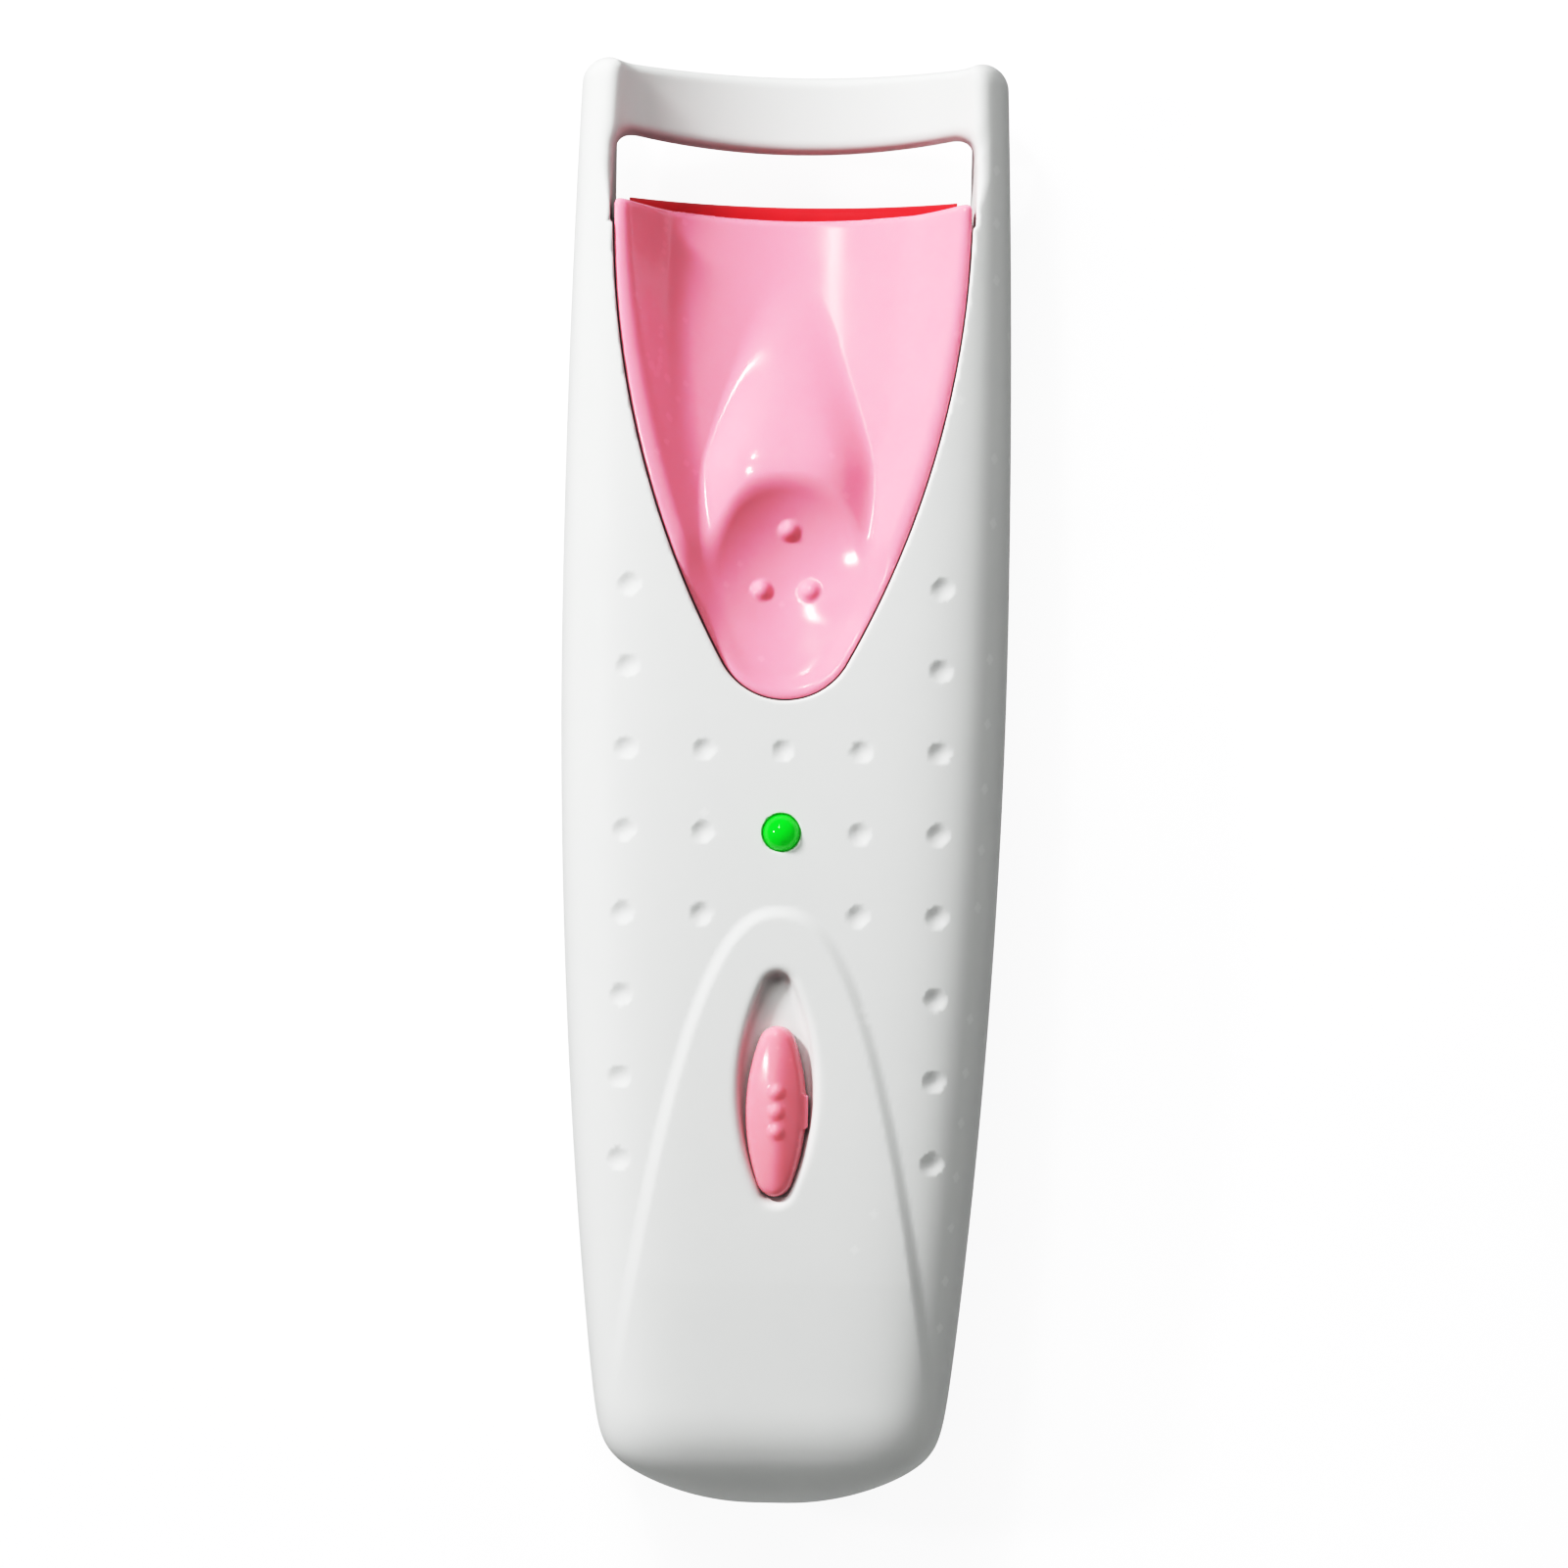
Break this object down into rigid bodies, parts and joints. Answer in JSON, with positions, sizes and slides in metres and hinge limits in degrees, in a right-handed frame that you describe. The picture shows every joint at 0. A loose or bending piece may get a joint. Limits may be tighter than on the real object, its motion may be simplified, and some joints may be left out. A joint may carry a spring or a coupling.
{
  "type": "heated eyelash curler",
  "caption": "Pocket heated eyelash curler: sliding thumb piece closes a warm pad on a curved bar, slide switch, battery bay behind.",
  "frame": {"origin": "middle of the bounding rectangle, at table level, the curler lying on its flat back", "axes": "+X across the body to the right seen from the front, +Y along the body from the tail to the curling head, +Z out of the front face"},
  "size_m": [0.0364, 0.1179, 0.0233],
  "materials": {
    "shell": "satin gloss, moulded",
    "pink_cover": "gloss, pearly pink",
    "pink_knob": "gloss, moulded",
    "heat_pad": "matt silicone",
    "heater_metal": "rolled sheet",
    "ceramic_heater": "matt ceramic",
    "wire_insulation": "soft insulation",
    "spring_steel": "drawn wire",
    "holder_plastic": "matt, moulded",
    "cell_jacket": "printed film on steel",
    "contact_metal": "nickel plated",
    "board": "solder mask",
    "chip": "moulded resin",
    "green_led": "clear tinted resin",
    "switch_metal": "tinned sheet",
    "black_plastic": "matt, moulded",
    "screw_steel": "zinc plated"
  },
  "bodies": {
    "body": {"front_shell": "shell", "back_shell": "shell", "heater_wires": "wire_insulation", "return_spring_left": "spring_steel", "return_spring_right": "spring_steel", "battery_holder": "holder_plastic", "battery_left": "cell_jacket", "battery_right": "cell_jacket", "contact_positive": "contact_metal", "contact_negative": "contact_metal", "contact_bridge": "contact_metal", "circuit_board": "board", "board_resistors": "chip", "board_transistor": "chip", "status_led": "green_led", "led_leads": "contact_metal", "switch_housing": "switch_metal", "switch_terminals": "contact_metal", "shell_screws": "screw_steel", "board_screws": "screw_steel"},
    "slider": {"press_slider": "pink_cover", "heat_pad": "heat_pad", "heater_plate": "heater_metal", "heating_element": "ceramic_heater"},
    "switch": {"switch_knob": "pink_knob", "switch_actuator": "black_plastic"},
    "door": {"battery_door": "shell"}
  },
  "joints": [
    {"name": "curling_slide", "type": "slide", "parent": "body", "child": "slider", "axis": [0, 1, 0], "range_m": [0, 0.004], "stiffness_N_per_m": 600, "deforming": ["return_spring_left", "return_spring_right", "heater_wires"]},
    {"name": "switch_slide", "type": "slide", "parent": "body", "child": "switch", "axis": [0, 1, 0], "range_m": [0, 0.0038]},
    {"name": "battery_door_slide", "type": "slide", "parent": "body", "child": "door", "axis": [0, -1, 0], "range_m": [0, 0.05]}
  ]
}
